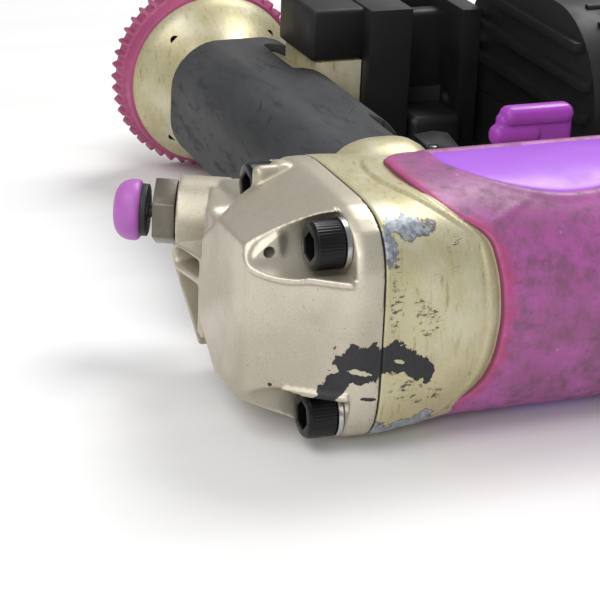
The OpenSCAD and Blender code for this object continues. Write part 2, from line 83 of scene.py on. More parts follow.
CAMERA_PLACE = (-225.8, -534.6, 231.7)
CAMERA_AZIMUTH = math.radians(22)
CAMERA_ELEVATION = math.radians(22)
CAMERA_ROLL = math.radians(2.5)
CAMERA_LENS = 138


def look_at_tool():
    across = math.cos(CAMERA_ELEVATION)
    forward = V(math.sin(CAMERA_AZIMUTH) * across, math.cos(CAMERA_AZIMUTH) * across,
                -math.sin(CAMERA_ELEVATION))
    right = V(math.cos(CAMERA_AZIMUTH), -math.sin(CAMERA_AZIMUTH), 0)
    up = right.cross(forward)
    x_axis = right * math.cos(CAMERA_ROLL) + up * math.sin(CAMERA_ROLL)
    y_axis = up * math.cos(CAMERA_ROLL) - right * math.sin(CAMERA_ROLL)
    camera = placed("camera", bpy.data.cameras.new("camera"))
    camera.data.lens = CAMERA_LENS
    camera.data.sensor_width = 36
    camera.data.clip_start = 0.01
    turn = Matrix((x_axis, y_axis, -forward)).transposed().to_4x4()
    camera.matrix_world = Matrix.Translation(P(*CAMERA_PLACE)) @ turn
    bpy.context.scene.camera = camera


def area_light(name, at, target, size, power):
    data = bpy.data.lights.new(name, "AREA")
    data.shape = "RECTANGLE"
    data.size = size[0]
    data.size_y = size[1]
    data.energy = power
    light = placed(name, data)
    light.location = at
    light.rotation_euler = (Vector(target) - Vector(at)).to_track_quat("-Z", "Y").to_euler()


look_at_tool()
bpy.context.scene.view_settings.view_transform = "Standard"


# ---------------------------------------------------------------- materials

class Finish:
    """A procedural material. Its textures follow the piece's own coordinates, in metres."""

    def __init__(self, name, roughness, metallic=0.0):
        self.material = bpy.data.materials.new(name)
        self.material.use_nodes = True
        self.tree = self.material.node_tree
        self.shader = self.tree.nodes["Principled BSDF"]
        self.place = self.new("TexCoord").outputs["Object"]
        self.set("Roughness", roughness)
        self.set("Metallic", metallic)

    def new(self, kind, **settings):
        node = self.tree.nodes.new("ShaderNode" + kind)
        for key, value in settings.items():
            setattr(node, key, value)
        return node

    def feed(self, socket, value):
        if hasattr(value, "links"):
            self.tree.links.new(value, socket)
        else:
            socket.default_value = value

    def set(self, socket, value):
        self.feed(self.shader.inputs[socket], value)

    def stretched(self, scale):
        """The place to read a texture at; a scale below 1 draws the texture out along that axis."""
        if scale is None:
            return self.place
        node = self.new("Mapping")
        node.inputs["Scale"].default_value = scale
        self.feed(node.inputs["Vector"], self.place)
        return node.outputs["Vector"]

    def noise(self, scale, detail=3.0, stretch=None, rough=0.55):
        node = self.new("TexNoise")
        node.inputs["Scale"].default_value = scale
        node.inputs["Detail"].default_value = detail
        node.inputs["Roughness"].default_value = rough
        self.feed(node.inputs["Vector"], self.stretched(stretch))
        return node.outputs["Fac"]

    def cell_edges(self, scale, stretch):
        """How far a point is from the borders of irregular cells."""
        node = self.new("TexVoronoi", feature="DISTANCE_TO_EDGE")
        node.inputs["Scale"].default_value = scale
        self.feed(node.inputs["Vector"], self.stretched(stretch))
        return node.outputs["Distance"]

    def math(self, operation, a, b):
        node = self.new("Math", operation=operation)
        self.feed(node.inputs[0], a)
        self.feed(node.inputs[1], b)
        return node.outputs[0]

    def times(self, a, b):
        return self.math("MULTIPLY", a, b)

    def span(self, value, low, high, to_low=0.0, to_high=1.0):
        """The value carried smoothly from one range to another, and held at its ends."""
        node = self.new("MapRange", interpolation_type="SMOOTHSTEP")
        for socket, number in zip(node.inputs[1:5], (low, high, to_low, to_high)):
            socket.default_value = number
        self.feed(node.inputs[0], value)
        return node.outputs[0]

    def mix(self, amount, a, b):
        """A colour that goes from a to b with the amount."""
        node = self.new("Mix", data_type="RGBA")
        self.feed(node.inputs["Factor"], amount)
        for socket, colour in zip((node.inputs[6], node.inputs[7]), (a, b)):
            self.feed(socket, colour if hasattr(colour, "links") else (*colour, 1))
        return node.outputs[2]

    def tint(self, colour, amount, most, other):
        """The colour, drawn towards another by the amount, and at most so far."""
        return self.mix(self.times(amount, most), colour, other)

    def blend(self, amount, a, b):
        """A number that goes from a to b with the amount."""
        node = self.new("Mix", data_type="FLOAT")
        for socket, value in zip((node.inputs[0], node.inputs[2], node.inputs[3]), (amount, a, b)):
            self.feed(socket, value)
        return node.outputs[0]

    def blobs(self, shapes, ragged, scale):
        """How far a point is from a group of ellipsoids: below 1 inside, above 1 outside.

        Each shape is its centre in the tool's frame, its turn in degrees and its half axes in mm.
        Noise of the scale moves the outline in and out by the ragged amount."""
        nearest = None
        for centre, turn, radii in shapes:
            node = self.new("Mapping", vector_type="TEXTURE")
            node.inputs["Location"].default_value = P(*centre)
            node.inputs["Rotation"].default_value = [math.radians(a) for a in turn]
            node.inputs["Scale"].default_value = [r / 1000 for r in radii]
            self.feed(node.inputs["Vector"], self.place)
            length = self.new("VectorMath", operation="LENGTH")
            self.feed(length.inputs[0], node.outputs["Vector"])
            distance = length.outputs["Value"]
            nearest = distance if nearest is None else self.math("MINIMUM", nearest, distance)
        wobble = self.span(self.noise(scale, 4, rough=0.65), 0.2, 0.8, -ragged, ragged)
        return self.math("ADD", nearest, wobble)

    def bump(self, *layers):
        """Layers of (height, depth in mm, strength), laid on top of each other."""
        normal = None
        for height, depth, strength in layers:
            node = self.new("Bump")
            node.inputs["Distance"].default_value = depth / 1000
            node.inputs["Strength"].default_value = strength
            self.feed(node.inputs["Height"], height)
            if normal is not None:
                self.feed(node.inputs["Normal"], normal)
            normal = node.outputs["Normal"]
        self.set("Normal", normal)


def shade(r, g, b):
    """A colour as it looks in daylight, 0 to 255, as linear light."""
    return tuple(((c / 255 + 0.055) / 1.055) ** 2.4 if c > 10 else c / 3295 for c in (r, g, b))


def simple(name, colour, other, roughness, metallic=0.0, grain=600.0):
    """A finish with a slow change of colour, a fine grain and uneven gloss."""
    f = Finish(name, roughness, metallic)
    slow = f.span(f.noise(60, 3), 0.3, 0.7)
    fine = f.noise(grain, 4)
    f.set("Base Color", f.mix(f.blend(0.4, slow, fine), colour, other))
    f.set("Roughness", f.span(slow, 0, 1, roughness - 0.05, roughness + 0.08))
    f.bump((fine, 0.05, 0.3))
    return f.material


# Worn places on the castings: centre, turn and half axes, as in Finish.blobs.
# Lacquer chipped to black across the gasket's joint
CHIP = (
    ((-5.2, -34, -6.2), (0, 0, 0), (8.2, 14, 5.8)),
    ((-10.6, -29, -10.8), (0, -52, 0), (9, 14, 2.7)),
    ((3, -35, -5.6), (0, 0, 0), (6, 9, 4.6)),
    ((9.6, -35, -8.4), (0, 38, 0), (6.6, 9, 3.2)),
    ((13.4, -35, -11.4), (0, -70, 0), (2.6, 9, 1.5)),
    ((-15, -27, -15.8), (0, -45, 0), (4, 12, 1.1)),
)
# Lacquer that is left within the chip
FLAKES = (
    ((-6.4, -32, -8.4), (0, 15, 0), (3.2, 12, 0.8)),
    ((2, -35, -11.5), (0, 10, 0), (3.2, 12, 2.6)),
    ((4.6, -35, -6.4), (0, 20, 0), (1.6, 8, 0.5)),
)
# Small dark nicks
NICKS = (
    ((-3.4, -34, -16.4), (0, 8, 0), (2.2, 8, 0.6)),
    ((-16.5, -27, -18.6), (0, 0, 0), (0.7, 8, 0.5)),
    ((-26, -19, -15), (0, 0, 0), (0.5, 6, 0.6)),
)
# Corners of the shoulder that are rubbed to bare metal
BARE = (
    ((6.6, -29.6, 29.6), (-48, 2, 0), (9, 6, 3.7)),
    ((1.4, -33.6, 25), (-20, 0, 0), (2.3, 5, 4.8)),
    ((6, -30, -29), (40, 0, 0), (12, 8, 4.6)),
    ((14, -33, -25), (30, 0, 0), (4, 7, 2)),
)
# Where the shoulder is scuffed, on the side away from the handle
SCUFFS = (
    ((10, -35, -15.5), (0, 10, 0), (7.5, 9, 4.2)),
    ((12, -35, 6), (0, 60, 0), (8, 9, 3.4)),
    ((3, -35, 12), (0, 0, 0), (2.2, 9, 9)),
    ((21, -33, 24), (0, -40, 0), (4.5, 8, 1.6)),
)


def rubbed_and_scored(f, colour):
    """The barrel's lacquer: streaks, rubbed places, scores, scuffs, and corners down to bare metal."""
    streaks = f.span(f.noise(330, 4, stretch=(2.5, 1, 0.35), rough=0.7), 0.56, 0.68)
    colour = f.tint(colour, streaks, 0.5, shade(122, 106, 70))
    rubbed = f.span(f.noise(70, 4, stretch=(1, 1, 0.6), rough=0.6), 0.48, 0.66)
    colour = f.tint(colour, rubbed, 0.5, shade(206, 202, 182))
    scores = f.span(f.noise(520, 2, stretch=(0.25, 1, 2.2)), 0.71, 0.74)
    scores = f.times(scores, f.span(f.noise(75, 2), 0.5, 0.56))
    colour = f.tint(colour, scores, 0.8, shade(66, 56, 36))
    scuffed = f.span(f.blobs(SCUFFS, 0.5, 150), 0.7, 1.1, 1, 0)
    marks = f.span(f.noise(620, 4, stretch=(0.7, 1, 1.3), rough=0.7), 0.54, 0.6)
    colour = f.tint(colour, f.times(marks, scuffed), 0.85, shade(52, 46, 34))
    patch = f.blobs(BARE, 0.5, 240)
    dull = f.span(f.noise(420, 5, rough=0.7), 0.35, 0.65)
    metal = f.mix(dull, shade(172, 176, 184), shade(112, 115, 124))
    islands = f.span(f.noise(210, 3), 0.64, 0.68)
    worn = f.times(f.span(patch, 0.94, 1.0, 1, 0), f.math("SUBTRACT", 1.0, islands))
    colour = f.mix(worn, colour, metal)
    rim = f.times(f.span(patch, 0.84, 0.96), f.span(patch, 1.0, 1.12, 1, 0))
    return f.tint(colour, rim, f.span(f.noise(300, 2), 0.4, 0.5, 0, 0.8), shade(84, 76, 58))


def worn_casting(name, light, dark, roughness, metallic, rubbed=False):
    """Lacquered die casting: a fine metallic grit, specks, scratches, and places chipped to black."""
    f = Finish(name, roughness, metallic)
    grit = f.noise(2600, 2)
    slow = f.span(f.noise(45, 3), 0.3, 0.7)
    colour = f.mix(f.blend(0.35, slow, f.span(grit, 0.35, 0.65)), light, dark)
    soiled = f.span(f.noise(210, 6, rough=0.7), 0.6, 0.72)
    colour = f.tint(colour, soiled, 0.35, tuple(c * 0.45 for c in dark))
    specks = f.span(f.noise(1500, 1), 0.74, 0.78)
    colour = f.tint(colour, specks, 0.7, shade(60, 52, 40))
    lines = f.span(f.noise(240, 2, stretch=(1, 1, 9)), 0.7, 0.73)
    lines = f.times(lines, f.span(f.noise(60, 2), 0.55, 0.65))
    colour = f.tint(colour, lines, 0.6, shade(96, 86, 62))
    if rubbed:
        colour = rubbed_and_scored(f, colour)
    chip = f.span(f.blobs(CHIP, 0.3, 330), 0.95, 1.0, 1, 0)
    chip = f.times(chip, f.span(f.blobs(FLAKES, 0.5, 500), 0.9, 1.0))
    nick = f.span(f.blobs(NICKS, 0.3, 700), 0.9, 1.05, 1, 0)
    black = f.math("MAXIMUM", chip, nick)
    colour = f.mix(black, colour, f.mix(f.noise(900, 4), shade(14, 14, 16), shade(46, 46, 50)))
    f.set("Base Color", colour)
    f.set("Metallic", f.blend(black, metallic, 0.0))
    f.set("Roughness", f.blend(black, f.span(slow, 0, 1, roughness - 0.04, roughness + 0.06), 0.6))
    f.bump((f.math("SUBTRACT", f.times(grit, 0.35), f.times(black, 0.9)), 0.12, 0.5))
    return f.material


def soiled_rubber(name, light, mid, dark, red, roughness):
    """Soft pink elastomer: uneven colour, ground-in dirt, a redder lip, and painted shade along the lip's
    rolled edge.
    """
    f = Finish(name, roughness)
    wide = f.span(f.noise(38, 4, rough=0.6), 0.35, 0.65)
    blotch = f.span(f.noise(140, 6, rough=0.72), 0.34, 0.74)
    colour = f.mix(blotch, f.mix(wide, light, mid), dark)
    scuff = f.span(f.noise(420, 4, stretch=(0.4, 1, 1)), 0.62, 0.7)
    colour = f.tint(colour, scuff, 0.45, shade(110, 66, 96))
    pale = f.span(f.noise(300, 3, stretch=(1, 0.5, 1)), 0.68, 0.76)
    colour = f.tint(colour, pale, 0.4, shade(212, 160, 205))
    specks = f.span(f.noise(1300, 1), 0.75, 0.79)
    colour = f.tint(colour, specks, 0.6, shade(70, 36, 60))
    from_lip = f.new("Attribute", attribute_name="lip").outputs["Fac"]
    uneven = f.math("ADD", from_lip, f.span(f.noise(180, 3), 0.3, 0.7, -1.5, 1.5))
    colour = f.mix(f.span(uneven, 0.4, 5.5, 0.6, 0), colour, red)
    # Painted shade: the rubber darkens within a millimetre of the lip, standing in for the shadow at the
    # proud rolled lip.
    colour = f.mix(f.span(from_lip, 0.1, 0.8, 0.75, 0), colour, shade(92, 40, 56))
    f.set("Base Color", colour)
    f.set("Roughness", f.span(blotch, 0, 1, roughness - 0.06, roughness + 0.1))
    f.bump((f.noise(1400, 3), 0.06, 0.3), (f.noise(160, 3), 0.25, 0.25))
    return f.material


def crazed_rubber(name):
    """The grip: grey with age, darker in its cracks, which run mostly along the handle."""
    f = Finish(name, 0.6)
    wide = f.span(f.noise(30, 4, stretch=(1, 0.5, 1), rough=0.6), 0.3, 0.7)
    colour = f.mix(wide, shade(34, 35, 36), shade(62, 63, 65))
    streaks = f.span(f.noise(260, 5, stretch=(1, 0.25, 1), rough=0.7), 0.5, 0.68)
    colour = f.tint(colour, streaks, 0.7, shade(36, 36, 38))
    cracks = f.span(f.cell_edges(170, (1, 0.45, 1)), 0.0, 0.03, 1, 0)
    cracks = f.times(cracks, f.span(f.noise(50, 3), 0.52, 0.66))
    colour = f.tint(colour, cracks, 0.8, shade(22, 22, 24))
    f.set("Base Color", colour)
    f.set("Roughness", f.span(streaks, 0, 1, 0.62, 0.8))
    f.bump((f.noise(900, 4), 0.12, 0.4), (f.times(cracks, -1.0), 0.3, 0.5))
    return f.material


# Finishes with no wear of their own: two colours, roughness, metallic and the grain's scale
PLAIN = {
    "black_oxide": (shade(26, 26, 28), shade(14, 14, 15), 0.3, 0.5, 1200),
    "bright_steel": (shade(200, 200, 200), shade(175, 175, 173), 0.25, 1.0),
    "dark_steel": (shade(60, 60, 62), shade(42, 42, 44), 0.45, 0.7),
    "spring_steel": (shade(180, 180, 180), shade(150, 150, 150), 0.3, 1.0),
    "grey_steel": (shade(142, 136, 124), shade(100, 95, 86), 0.38, 0.9),
    "purple_knob": (shade(178, 102, 184), shade(158, 86, 162), 0.45),
    "black_rubber": (shade(34, 34, 36), shade(24, 24, 25), 0.6),
    "gasket": (shade(30, 30, 30), shade(22, 22, 22), 0.7),
    "liner_alloy": (shade(195, 197, 200), shade(175, 177, 180), 0.3, 0.95),
    "white_resin": (shade(222, 220, 212), shade(205, 203, 196), 0.45),
    "panel_lilac": (shade(172, 92, 222), shade(160, 84, 208), 0.4),
    "ring_pink": (shade(170, 76, 116), shade(148, 62, 100), 0.5),
    "tab_purple": (shade(168, 66, 186), shade(148, 56, 168), 0.4),
    "magazine_black": (shade(17, 17, 18), shade(8, 8, 9), 0.55),
    "filter_bronze": (shade(190, 150, 90), shade(150, 110, 60), 0.5, 0.9),
    "plug_brass": (shade(200, 196, 170), shade(180, 172, 140), 0.3, 0.95),
}
MATERIALS = {name: simple(name, *look) for name, look in PLAIN.items()}
MATERIALS["cast_silver"] = worn_casting("cast_silver", shade(204, 197, 180), shade(176, 168, 150),
                                        0.44, 0.7)
MATERIALS["cast_champagne"] = worn_casting("cast_champagne", shade(198, 191, 156), shade(172, 164, 124),
                                           0.42, 0.4, rubbed=True)
MATERIALS["protector_pink"] = soiled_rubber("protector_pink", shade(172, 88, 158), shade(150, 76, 132),
                                            shade(112, 72, 96), shade(176, 58, 104), 0.5)
MATERIALS["grip_rubber"] = crazed_rubber("grip_rubber")


# ---------------------------------------------------------------- pieces

SLOT_OF = {part["node"]: part["material_slot"] for part in frame["record"]["subparts"]}
BODY_OF = {
    node: body
    for body, members in frame["record"]["behaviour"]["bodies"].items()
    for node in members
}
# Nodes that no piece stands for yet
LEFT = set(NODES)


def piece(name, mesh, node, finish=None):
    """A new piece that stands for a CAD node and rides on its body."""
    obj = placed(name, mesh)
    mesh.materials.clear()
    mesh.materials.append(finish or MATERIALS[SLOT_OF[node]])
    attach(obj, BODY_OF[node])
    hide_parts(node)
    LEFT.discard(node)
    return obj


def smooth_by_angle(mesh, angle=35):
    """Smooth shading, with the edges over that angle kept sharp."""
    mesh.polygons.foreach_set("use_smooth", [True] * len(mesh.polygons))
    mesh.set_sharp_from_angle(angle=math.radians(angle))


def applied(obj):
    """The mesh of a working object with its modifiers applied. The object goes."""
    graph = bpy.context.evaluated_depsgraph_get()
    result = bpy.data.meshes.new_from_object(obj.evaluated_get(graph))
    bpy.data.objects.remove(obj)
    return result


def modified(mesh, kind, **settings):
    """The mesh with one modifier applied."""
    obj = placed("shaping", mesh)
    modifier = obj.modifiers.new(kind, kind)
    for key, value in settings.items():
        setattr(modifier, key, value)
    return applied(obj)


def rounded(mesh, width, segments=3, angle=32):
    """The mesh with its edges over that angle rounded, as a cast or moulded part has them."""
    return modified(mesh, "BEVEL", width=width / 1000, segments=segments, limit_method="ANGLE",
                    angle_limit=math.radians(angle), use_clamp_overlap=True)


def cad_mesh(node):
    """A copy of a CAD node's mesh, welded and without the edges inside its flat faces."""
    mesh = NODES[node].data.copy()
    bm = bmesh.new()
    bm.from_mesh(mesh)
    bmesh.ops.remove_doubles(bm, verts=bm.verts, dist=2e-6)
    bmesh.ops.dissolve_limit(bm, angle_limit=math.radians(0.6), verts=bm.verts, edges=bm.edges,
                             use_dissolve_boundaries=False)
    bm.to_mesh(mesh)
    bm.free()
    mesh.update()
    return mesh


# ---------------------------------------------------------------- shaping tools

def spokes(axis):
    """A function from an angle to the unit vector that stands on the axis at that angle."""
    side = axis.orthogonal().normalized()
    across = axis.cross(side)
    return lambda a: side * math.cos(a) + across * math.sin(a)


def turns_of(count):
    """Evenly spaced angles once round, in radians."""
    return [2 * math.pi * i / count for i in range(count)]


def section(x, half_y, half_z, power, count=48):
    """Points round the tool's x axis, on a curve between an ellipse and a rectangle."""
    points = []
    for a in turns_of(count):
        c = math.cos(a)
        s = math.sin(a)
        k = (abs(c) ** power + abs(s) ** power) ** (-1 / power)
        points.append(P(x, half_y * c * k, half_z * s * k))
    return points


def as_mesh(bm):
    mesh = bpy.data.meshes.new("shape")
    bm.to_mesh(mesh)
    bm.free()
    return mesh


def facing_out(bm):
    bmesh.ops.recalc_face_normals(bm, faces=bm.faces)
    return as_mesh(bm)


def hull(*points):
    """The convex body around the points."""
    bm = bmesh.new()
    for point in points:
        bm.verts.new(point)
    made = bmesh.ops.convex_hull(bm, input=bm.verts)
    unused = {v for v in made["geom_interior"] + made["geom_unused"] if isinstance(v, bmesh.types.BMVert)}
    bmesh.ops.delete(bm, geom=list(unused), context="VERTS")
    return facing_out(bm)


def corners(low, high):
    return [P(x, y, z) for x in (low[0], high[0]) for y in (low[1], high[1]) for z in (low[2], high[2])]


def brick(low, high):
    return hull(*corners(low, high))


def pillow(low, high, radius):
    """A box with every edge rounded over by the same radius, in mm."""
    points = []
    for corner in corners([a + radius for a in low], [b - radius for b in high]):
        for longitude in range(0, 360, 30):
            for latitude in range(-90, 91, 30):
                u = math.radians(longitude)
                v = math.radians(latitude)
                out = V(math.cos(u) * math.cos(v), math.sin(u) * math.cos(v), math.sin(v))
                points.append(corner + out * (radius / 1000))
    return hull(*points)


def rod_points(start, end, radius, count=40):
    out = spokes((end - start).normalized())
    return [centre + out(a) * radius / 1000 for centre in (start, end) for a in turns_of(count)]


def rod(start, end, radius, count=40):
    """A round bar between two points of the row's frame, its radius in mm."""
    return hull(*rod_points(start, end, radius, count))


def rod_x(x0, x1, y, z, radius, count=40):
    """A round bar along the tool's x axis."""
    return rod(P(x0, y, z), P(x1, y, z), radius, count)


def skin(rings):
    """A surface through rings of points with the same count, capped at both ends."""
    bm = bmesh.new()
    rows = [[bm.verts.new(p) for p in ring] for ring in rings]
    count = len(rows[0])
    for a, b in zip(rows, rows[1:]):
        for i in range(count):
            j = (i + 1) % count
            bm.faces.new((a[i], a[j], b[j], b[i]))
    bm.faces.new(rows[0])
    bm.faces.new(rows[-1])
    return facing_out(bm)


def lathe(origin, axis, profile, count=64):
    """A body turned from (distance along the axis, radius) pairs in mm."""
    out = spokes(axis)
    return skin([[origin + axis * (s / 1000) + out(a) * (r / 1000) for a in turns_of(count)]
                 for s, r in profile])


def joined(*meshes):
    bm = bmesh.new()
    for mesh in meshes:
        bm.from_mesh(mesh)
    return as_mesh(bm)


def boolean(mesh, operand, operation="DIFFERENCE"):
    other = placed("operand", operand)
    result = modified(mesh, "BOOLEAN", operation=operation, solver="EXACT", object=other)
    bpy.data.objects.remove(other)
    return result


def voxels(mesh, size):
    """The outer skin of overlapping bodies, as an even mesh."""
    return modified(mesh, "REMESH", mode="VOXEL", voxel_size=size / 1000)


def softened(mesh, passes, weight=None):
    """Edges rounded by averaging; weight(point) says how much, from 0 to 1."""
    obj = placed("shaping", mesh)
    modifier = obj.modifiers.new("SMOOTH", "SMOOTH")
    modifier.factor = 0.5
    modifier.iterations = passes
    if weight:
        group = obj.vertex_groups.new(name="soft")
        for v in mesh.vertices:
            amount = weight(v.co)
            if amount > 0:
                group.add([v.index], amount, "REPLACE")
        modifier.vertex_group = "soft"
    return applied(obj)


def near(centre, inner, outer):
    """A weight that is 1 within the inner radius of a point and 0 beyond the outer, in mm."""
    at = P(*centre)
    return lambda p: max(0.0, min(1.0, (outer - (p - at).length * 1000) / (outer - inner)))


def along(value, table):
    """A number read off a table of (value, number) pairs, straight between them."""
    if value <= table[0][0]:
        return table[0][1]
    for (v0, n0), (v1, n1) in zip(table, table[1:]):
        if value <= v1:
            return n0 + (n1 - n0) * (value - v0) / (v1 - v0)
    return table[-1][1]


def eased(value, table):
    """The same, with the table's corners rounded over."""
    return sum(along(value + d, table) for d in (-5, -3, -1, 1, 3, 5)) / 6


def oval(angle, half_a, half_b, power):
    """Distance from the middle to the edge of a rounded section, at an angle in degrees."""
    c = abs(math.cos(math.radians(angle))) / half_a
    s = abs(math.sin(math.radians(angle))) / half_b
    return (c ** power + s ** power) ** (-1 / power)


def around(x, angle, radius):
    """The point at x that lies that far from the barrel's axis, at an angle from +y to +z."""
    a = math.radians(angle)
    return P(x, radius * math.cos(a), radius * math.sin(a))


def hump(distance, width):
    return math.exp(-(distance / width) ** 2)


# ---------------------------------------------------------------- head

TILT = math.radians(25)
DUSTER_AXIS = V(-math.cos(TILT), math.sin(TILT), 0)
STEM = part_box("duster_stem")
DUSTER = (STEM[0] + STEM[1]) / 2 - DUSTER_AXIS * 0.0065
BOLT_REACH = 23.8
BOLTS = [(y * BOLT_REACH, z * BOLT_REACH) for y in (-1, 1) for z in (-1, 1)]
BOLT_RADIUS = 3.95
BOLT_HOLE_RADIUS = 4.3
POCKET_RADIUS = 8.1
BOLT_HEAD_RADIUS = 6.5
BOLT_HEAD_LENGTH = 8.0
BOLT_SOCKET_RADIUS = 3.4
# How far the rims of two pockets stand up, in metres
LIP_HEIGHT = 0.0011
# Voxel sizes for a rough body and for the finished cover, in mm
COARSE = 0.8
FINE = 0.46
# Half the flange's breadth and height, and how square its section is
FLANGE_Y = 35.0
FLANGE_Z = 33.0
FLANGE_POWER = 4.5


def on_duster(s):
    """The point of the air duster's axis that lies s mm out from its origin."""
    return DUSTER + DUSTER_AXIS * (s / 1000)


def head_block():
    """The cover's main body: a flat eight-sided end that swells to the flange, cut at the gasket."""
    end = [P(-32, y, z) for z, y in ((-22, -13), (-18, -17), (18, -17), (22, -13), (22, 6), (12, 19),
                                     (-12, 19), (-22, 6))]
    rings = ((4, 35.1, 33.1), (-6, FLANGE_Y, FLANGE_Z), (-8.5, 34.2, 32.2), (-11, 33, 31))
    block = hull(*end, *[p for x, y, z in rings for p in section(x, y, z, FLANGE_POWER)])
    block = softened(voxels(block, COARSE), 5)
    return boolean(block, brick((-0.5, -60, -60), (20, 60, 60)))


def head_fin():
    """The hollow fin on the handle's side, with the two pockets that open away from the nose."""
    rim = [P(x, y, z) for y in (34.4, 36.2)
           for x, z in ((-35, 5), (-34.8, 1), (-25.8, -27), (-8, -27), (-8, 5))]
    fin = hull(*corners((-31.5, 18, -20), (-8, 20, 6)), *rim)
    fin = boolean(fin, brick((-40, 20.6, -0.4), (-14, 34.4, 4.2)))
    return boolean(fin, brick((-40, 20.6, -40), (-14, 34.4, -2.6)))


def duster_arm():
    """The air duster's boss, and what carries it from the end face and from the flange."""
    boss = rod(on_duster(-8), on_duster(6.5), 11)
    arm = hull(*rod_points(on_duster(-6), on_duster(-3), 9.6), *corners((-27, 20, -6), (-6, 30, 17)))
    root = hull(*rod_points(on_duster(-9), on_duster(-5), 10.4), *corners((-15, 22, 2), (-6, 33.5, 22)))
    return boss, arm, root


def pocket_floor(block):
    """The pad in the bottom of the upper bolt's pocket, kept within a softer copy of the block."""
    points = []
    for y, out, slope in ((-17.4, 0, 0), (-17, 0.4, 0.6), (-11, 0.4, 10)):
        points += [P(x, y, z) for x, z in (
            (-30.2 - out, 17.6 - out), (-23.4 + slope, 17.9 - out), (-22.4 + slope, 19 - out),
            (-23.4 + slope, 24.3 + out), (-27, 26.5 + out), (-30 - out, 23 + out))]
    return boolean(hull(*points), softened(voxels(block, COARSE), 2), "INTERSECT")


def pocket_lips(block):
    """Raised rims round the pockets away from the handle: the block grown a little, cut to their reach."""
    proud = block.copy()
    for vertex, corner in zip(proud.vertices, block.vertices):
        vertex.co = corner.co + corner.normal * LIP_HEIGHT
    lips = []
    for y, z in BOLTS[:2]:
        slot = sorted((z, math.copysign(15.0, z)))
        lips.append(boolean(rod_x(-50, -9, y, z, 9.7), proud, "INTERSECT"))
        lips.append(boolean(brick((-27, -40, slot[0]), (-9, -24, slot[1])), proud, "INTERSECT"))
    return lips


def head_cover():
    block = head_block()
    solids = [block, head_fin(), *duster_arm(), *pocket_lips(block)]
    wide = joined(*[rod_x(-50, -8, y, z, POCKET_RADIUS) for y, z in BOLTS], rod_x(-16, 5, 0, 0, 22, 96),
                  rod(on_duster(-12), on_duster(12), 5))
    narrow = joined(*[rod_x(-9, 5, y, z, BOLT_HOLE_RADIUS) for y, z in BOLTS])
    slots = joined(brick((-25.5, -41, 16.8), (-8, -23.9, 27.5)),
                   brick((-25.5, -41, -27.5), (-8, -23.9, -16.8)))
    for cut in (wide, narrow, slots):
        solids = [boolean(solid, cut) for solid in solids]
    brow = joined(pillow((-19, 13.2, 22), (-8.5, 17.4, 32.7), 2.0),
                  pillow((-13, 13.2, 24), (-7.5, 20, 32.9), 1.8))
    shape = voxels(joined(*solids, brow, pocket_floor(block)), FINE)
    where_arm_meets_fin = near((-26, 32, 9), 9, 16)
    shape = softened(shape, 60, where_arm_meets_fin)
    shape = softened(shape, 6)
    vent = rod(P(-26, -24, 20.6), P(-26, -9, 20.6), 1.6)
    shape = boolean(shape, vent)
    chamber = rod_x(-16.2, 5, 0, 0, 22.2, 96)
    shape = boolean(shape, chamber)
    smooth_by_angle(shape, 50)
    piece("head_shell", shape, "head_cover", MATERIALS["cast_silver"])


def gasket():
    rings = [section(x, FLANGE_Y - 0.5 - inset, FLANGE_Z - 0.5 - inset, FLANGE_POWER, 96) for x, inset in
             ((-0.8, 10), (-0.8, 0.1), (-0.6, 0), (-0.2, 0), (0, 0.1), (0, 10))]
    mesh = skin(rings)
    smooth_by_angle(mesh)
    piece("gasket_look", mesh, "head_gasket")


def knob():
    profile = ((17.3, 2.3), (17.3, 6.8), (17.45, 7.8), (17.9, 8.5), (18.7, 8.85), (19.8, 8.9), (21.2, 8.75),
               (22.6, 8.2), (23.8, 7.3), (24.7, 5.9), (25.2, 4.2), (25.45, 2.2), (25.5, 0.3))
    mesh = lathe(DUSTER, DUSTER_AXIS, profile)
    smooth_by_angle(mesh, 40)
    piece("knob", mesh, "duster_knob")


# ---------------------------------------------------------------- barrel: shoulder and protector

# Where the protector's lip lies, round the barrel from one end to the other: angle and x in mm
LIP = ((56, 30), (60, 27), (66, 20.5), (73, 16.2), (94, 15.3), (107, 16.2), (116, 17.5), (126, 19.8),
       (130, 22), (134, 26), (138, 29.6), (140, 31.2), (147, 31.8), (159, 33.2), (177, 33.9), (195, 32.5),
       (208, 29.3), (215, 24.4), (222, 20), (235, 17), (252, 15.4), (287, 16.2), (294, 20.5), (304, 30))
# The raised bead that the shoulder carries ahead of that lip
BEAD = ((70, 12.6), (74, 10.5), (91, 9.2), (104, 9.9), (112, 12), (121, 15.0), (128, 18.6), (133, 22),
        (136, 25.6), (140, 28.6), (150, 29.6), (165, 30.6), (180, 31), (195, 29.6), (208, 26.4),
        (222, 16), (270, 11), (290, 12.5))
# How high the bead stands round the barrel
BEAD_HEIGHT = ((70, 0), (73, 0.8), (130, 0.7), (140, 0.3), (290, 0.2))
# The protector's section and its end towards the nose
PROTECTOR_Y = 35.5
PROTECTOR_Z = 34.0
PROTECTOR_POWER = 2.7
PROTECTOR_END = 103
# The shoulder's section from the gasket towards the nose: x, half breadth, half height, squareness
SHOULDER = ((0, 35.0, 33.0, 4.5), (4, 35.0, 33.0, 4.4), (10, 34.9, 33.0, 4.0), (16, 34.7, 33.0, 3.6),
            (22, 34.5, 32.9, 3.2), (28, 34.3, 32.8, 2.9), (34, 34.1, 32.6, 2.8), (37, 33.4, 32.2, 2.7),
            (41, 30.5, 30.2, 2.3), (46, 30.5, 30.2, 2.2))
# The neck that rises from the shoulder to the handle: y, its middle's x, half breadth, half height
NECK = ((14, 24.5, 14, 28), (18, 24.5, 16.4, 31.4), (22, 24.5, 17.4, 33), (26, 24.5, 18, 33.4),
        (30, 24.5, 18, 33), (34, 25, 17.8, 31.2), (38, 26, 17.4, 28), (41, 28, 17, 24),
        (43.6, 30.5, 16.6, 18.4))


